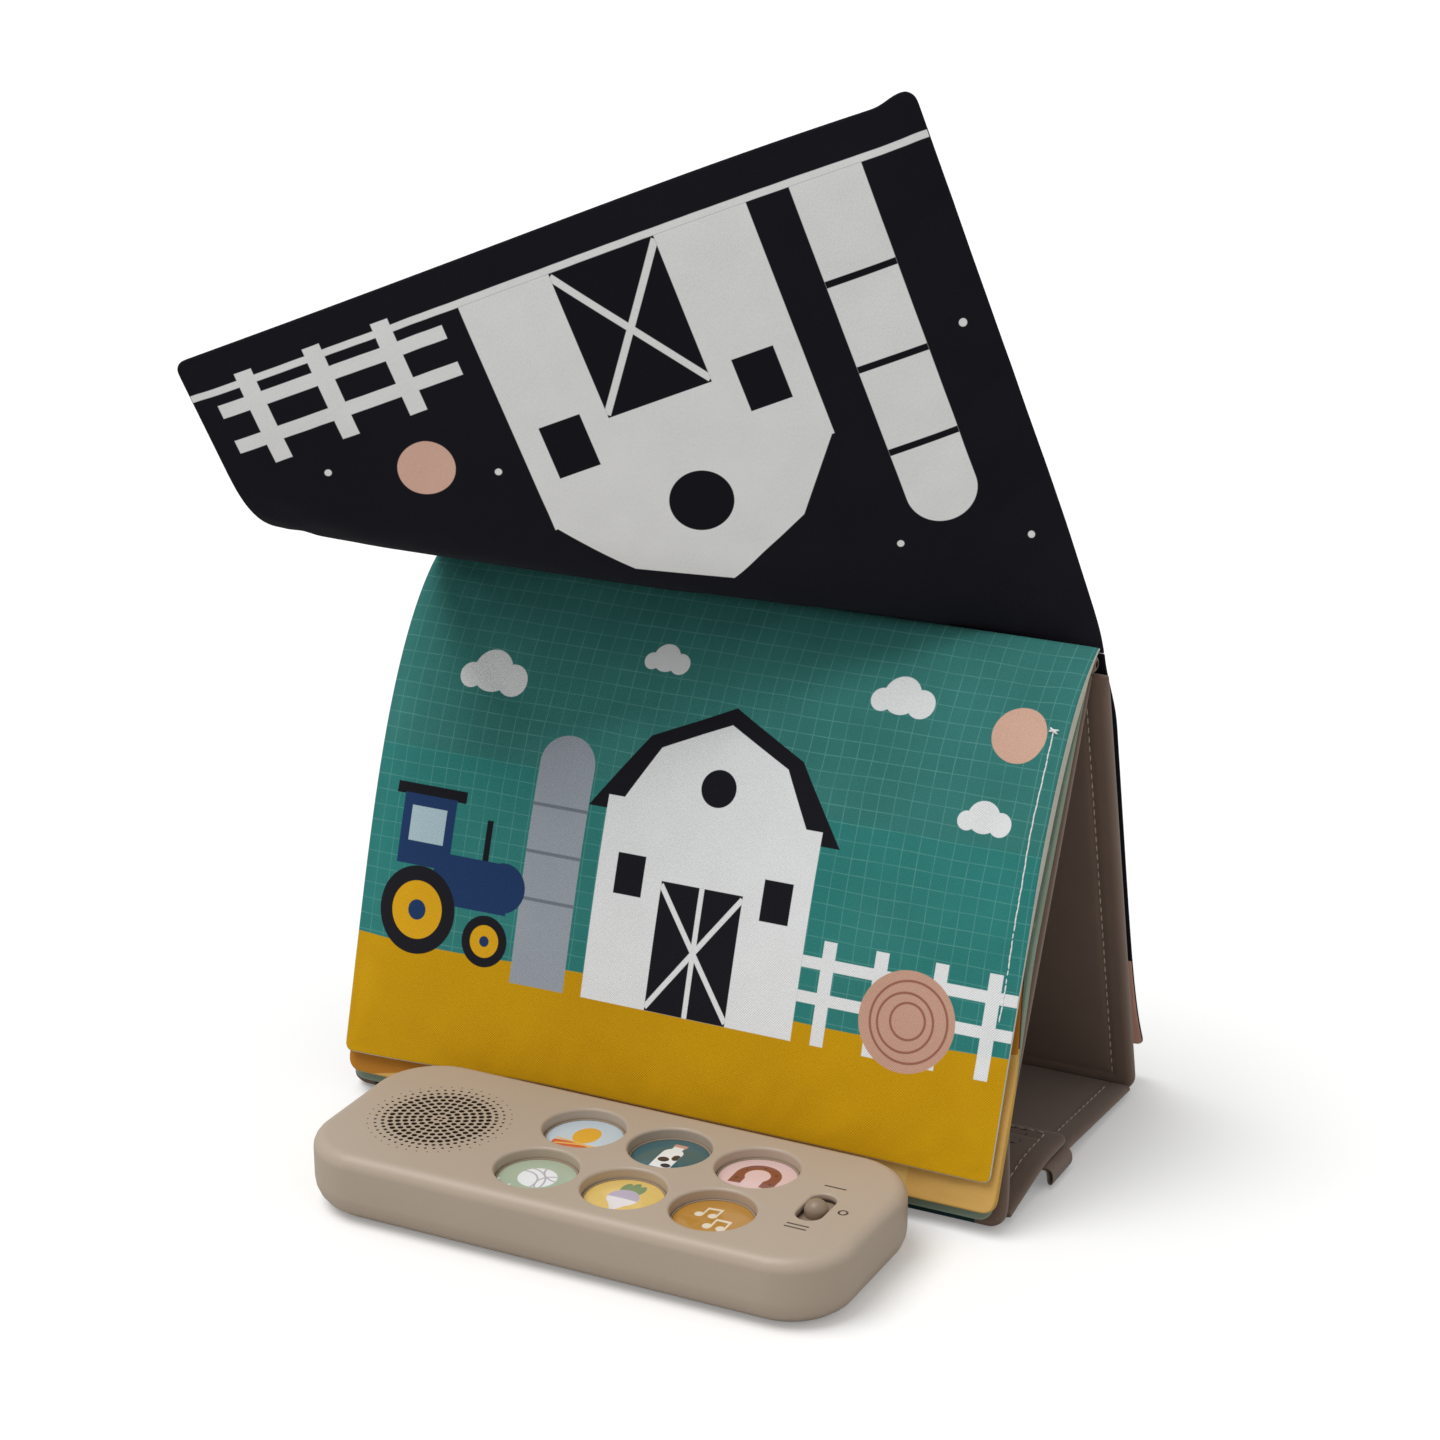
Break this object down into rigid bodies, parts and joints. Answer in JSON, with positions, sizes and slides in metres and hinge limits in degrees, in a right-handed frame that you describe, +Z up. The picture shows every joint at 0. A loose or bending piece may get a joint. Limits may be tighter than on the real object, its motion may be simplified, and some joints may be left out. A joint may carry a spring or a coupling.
{
  "type": "musical cloth flip book",
  "caption": "Standing cloth flip-over book with padded leaves sewn to a tent-shaped cover and a flat sound module with picture buttons, speaker and slide switch.",
  "frame": {"origin": "middle of the sound module's flat underside, on the table", "axes": "+Z up, +X to the right and +Y to the back as seen from the front of the book"},
  "size_m": [0.2296, 0.1886, 0.3115],
  "materials": {
    "shell": "satin",
    "cap": "satin",
    "disc_1": "gloss",
    "disc_2": "gloss",
    "disc_3": "gloss",
    "disc_4": "gloss",
    "disc_5": "gloss",
    "disc_6": "gloss",
    "steel": "plain",
    "contact": "plain",
    "board_green": "satin",
    "black_plastic": "satin",
    "silicone": "matt",
    "stiffener": "matt",
    "lead": "satin",
    "taupe_cloth": "woven",
    "teal_cloth": "printed",
    "ochre_cloth": "printed",
    "sage_cloth": "printed",
    "black_cloth": "printed",
    "peach_cloth": "printed",
    "dark_teal_cloth": "woven",
    "wadding": "loose",
    "hook_and_loop": "napped"
  },
  "bodies": {
    "book": {"front_cover": "taupe_cloth", "front_board": "stiffener", "spine_roll": "taupe_cloth"},
    "module": {"upper_shell": "shell", "lower_plate": "shell", "shell_screws": "steel", "battery_door": "shell", "battery_door_screw": "steel", "button_cells": "steel", "battery_contacts": "contact", "circuit_board": "board_green", "board_screws": "steel", "sound_chip": "black_plastic", "keypad_mat": "silicone", "slide_switch": "black_plastic", "speaker_gasket": "silicone", "speaker_basket": "steel", "speaker_cone": "black_plastic", "speaker_magnet": "steel", "speaker_clamp": "shell", "speaker_screws": "steel", "speaker_leads": "lead", "module_tongue": "dark_teal_cloth"},
    "button_1": {"button_cap_1": "cap", "picture_disc_1": "disc_1"},
    "button_2": {"button_cap_2": "cap", "picture_disc_2": "disc_2"},
    "button_3": {"button_cap_3": "cap", "picture_disc_3": "disc_3"},
    "button_4": {"button_cap_4": "cap", "picture_disc_4": "disc_4"},
    "button_5": {"button_cap_5": "cap", "picture_disc_5": "disc_5"},
    "button_6": {"button_cap_6": "cap", "picture_disc_6": "disc_6"},
    "switch": {"switch_knob": "shell"},
    "rear": {"rear_cover": "taupe_cloth", "rear_board": "stiffener"},
    "front_flap": {"front_flap": "taupe_cloth", "front_flap_board": "stiffener", "hook_patch": "hook_and_loop"},
    "rear_flap": {"rear_flap": "taupe_cloth", "rear_flap_board": "stiffener", "loop_patch": "hook_and_loop", "pull_tab": "taupe_cloth"},
    "sage_leaf": {"sage_leaf": "sage_cloth", "sage_wadding": "wadding"},
    "ochre_leaf": {"ochre_leaf": "ochre_cloth", "ochre_wadding": "wadding"},
    "teal_leaf": {"teal_leaf": "teal_cloth", "teal_wadding": "wadding"},
    "turned_leaf": {"turned_leaf": "black_cloth", "turned_wadding": "wadding"},
    "rear_leaf": {"rear_leaf": "peach_cloth", "rear_wadding": "wadding"}
  },
  "joints": [
    {"name": "module_swing", "type": "hinge", "parent": "book", "child": "module", "pos_m": [0, 0.0429, 0.0007], "axis": [-1, 0, 0], "range_deg": [0, 16]},
    {"name": "press_1", "type": "slide", "parent": "module", "child": "button_1", "axis": [0, 0, -1], "range_m": [0, 0.0012], "stiffness_N_per_m": 400, "springref_m": -0.0005, "deforming": ["keypad_mat"]},
    {"name": "press_2", "type": "slide", "parent": "module", "child": "button_2", "axis": [0, 0, -1], "range_m": [0, 0.0012], "stiffness_N_per_m": 400, "springref_m": -0.0005, "deforming": ["keypad_mat"]},
    {"name": "press_3", "type": "slide", "parent": "module", "child": "button_3", "axis": [0, 0, -1], "range_m": [0, 0.0012], "stiffness_N_per_m": 400, "springref_m": -0.0005, "deforming": ["keypad_mat"]},
    {"name": "press_4", "type": "slide", "parent": "module", "child": "button_4", "axis": [0, 0, -1], "range_m": [0, 0.0012], "stiffness_N_per_m": 400, "springref_m": -0.0005, "deforming": ["keypad_mat"]},
    {"name": "press_5", "type": "slide", "parent": "module", "child": "button_5", "axis": [0, 0, -1], "range_m": [0, 0.0012], "stiffness_N_per_m": 400, "springref_m": -0.0005, "deforming": ["keypad_mat"]},
    {"name": "press_6", "type": "slide", "parent": "module", "child": "button_6", "axis": [0, 0, -1], "range_m": [0, 0.0012], "stiffness_N_per_m": 400, "springref_m": -0.0005, "deforming": ["keypad_mat"]},
    {"name": "switch_slide", "type": "slide", "parent": "module", "child": "switch", "axis": [0, 1, 0], "range_m": [-0.0035, 0.0035]},
    {"name": "sage_turn", "type": "hinge", "parent": "book", "child": "sage_leaf", "pos_m": [0, 0.10303, 0.1511], "axis": [-1, 0, 0], "range_deg": [0, 40], "deforming": ["sage_leaf", "sage_wadding", "ochre_leaf", "ochre_wadding"]},
    {"name": "ochre_turn", "type": "hinge", "parent": "sage_leaf", "child": "ochre_leaf", "pos_m": [0, 0.10161, 0.15213], "axis": [-1, 0, 0], "range_deg": [0, 40], "deforming": ["ochre_leaf", "ochre_wadding"]},
    {"name": "teal_turn", "type": "hinge", "parent": "ochre_leaf", "child": "teal_leaf", "pos_m": [0, 0.1002, 0.15316], "axis": [-1, 0, 0], "range_deg": [0, 40]},
    {"name": "turned_turn", "type": "hinge", "parent": "book", "child": "turned_leaf", "pos_m": [0, 0.10741, 0.15457], "axis": [-1, 0, 0], "range_deg": [-20, 115]},
    {"name": "ridge_fold", "type": "hinge", "parent": "book", "child": "rear", "pos_m": [0, 0.108, 0.149], "axis": [-1, 0, 0], "range_deg": [-60, 0]},
    {"name": "rear_turn", "type": "hinge", "parent": "rear", "child": "rear_leaf", "pos_m": [0, 0.11341, 0.15045], "axis": [-1, 0, 0], "range_deg": [-120, 0]},
    {"name": "front_flap_lift", "type": "hinge", "parent": "book", "child": "front_flap", "pos_m": [0, 0.05, 0.0026], "axis": [1, 0, 0], "range_deg": [0, 50]},
    {"name": "rear_flap_drop", "type": "hinge", "parent": "rear", "child": "rear_flap", "pos_m": [0, 0.1426, 0.0026], "axis": [1, 0, 0], "range_deg": [0, 50]}
  ]
}
